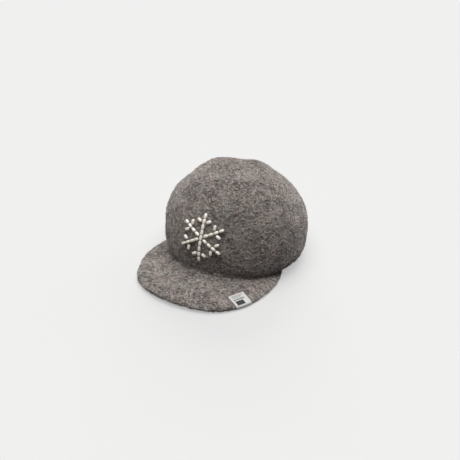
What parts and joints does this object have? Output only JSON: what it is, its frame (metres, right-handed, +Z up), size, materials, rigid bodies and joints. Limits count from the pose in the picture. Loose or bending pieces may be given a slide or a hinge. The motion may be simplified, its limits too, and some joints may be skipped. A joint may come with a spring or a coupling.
{
  "type": "knit baseball cap",
  "caption": "Soft fulled-knit wool cap: rounded seamless crown, thick sloping peak, a ribbon label folded over the peak's edge and a beaded snow crystal on the front.",
  "frame": {"origin": "on the table, under the middle of the whole cap's box", "axes": "front of the cap and its peak towards -Y, wearer's left towards +X, +Z up; the cap stands on the back of its rim and the edge of its peak"},
  "size_m": [0.197, 0.2894, 0.1288],
  "materials": {
    "wool": "heathered warm grey wool, knitted and fulled, slightly fuzzy",
    "ribbon": "white woven ribbon with a plain grey and black print",
    "pearl": "cream, soft gloss"
  },
  "bodies": {
    "root": {"crown": "wool", "peak": "wool", "label": "ribbon", "bead_centre": "pearl", "bead_arm_1_1": "pearl", "bead_arm_1_2": "pearl", "bead_arm_1_3": "pearl", "bead_arm_1_4": "pearl", "bead_arm_2_1": "pearl", "bead_arm_2_2": "pearl", "bead_arm_2_3": "pearl", "bead_arm_2_4": "pearl", "bead_arm_3_1": "pearl", "bead_arm_3_2": "pearl", "bead_arm_3_3": "pearl", "bead_arm_3_4": "pearl", "bead_arm_4_1": "pearl", "bead_arm_4_2": "pearl", "bead_arm_4_3": "pearl", "bead_arm_4_4": "pearl", "bead_arm_5_1": "pearl", "bead_arm_5_2": "pearl", "bead_arm_5_3": "pearl", "bead_arm_5_4": "pearl", "bead_arm_6_1": "pearl", "bead_arm_6_2": "pearl", "bead_arm_6_3": "pearl", "bead_arm_6_4": "pearl", "bead_branch_1_left": "pearl", "bead_branch_1_right": "pearl", "bead_branch_2_left": "pearl", "bead_branch_2_right": "pearl", "bead_branch_3_left": "pearl", "bead_branch_3_right": "pearl", "bead_branch_4_left": "pearl", "bead_branch_4_right": "pearl", "bead_branch_5_left": "pearl", "bead_branch_5_right": "pearl", "bead_branch_6_left": "pearl", "bead_branch_6_right": "pearl"}
  },
  "joints": []
}
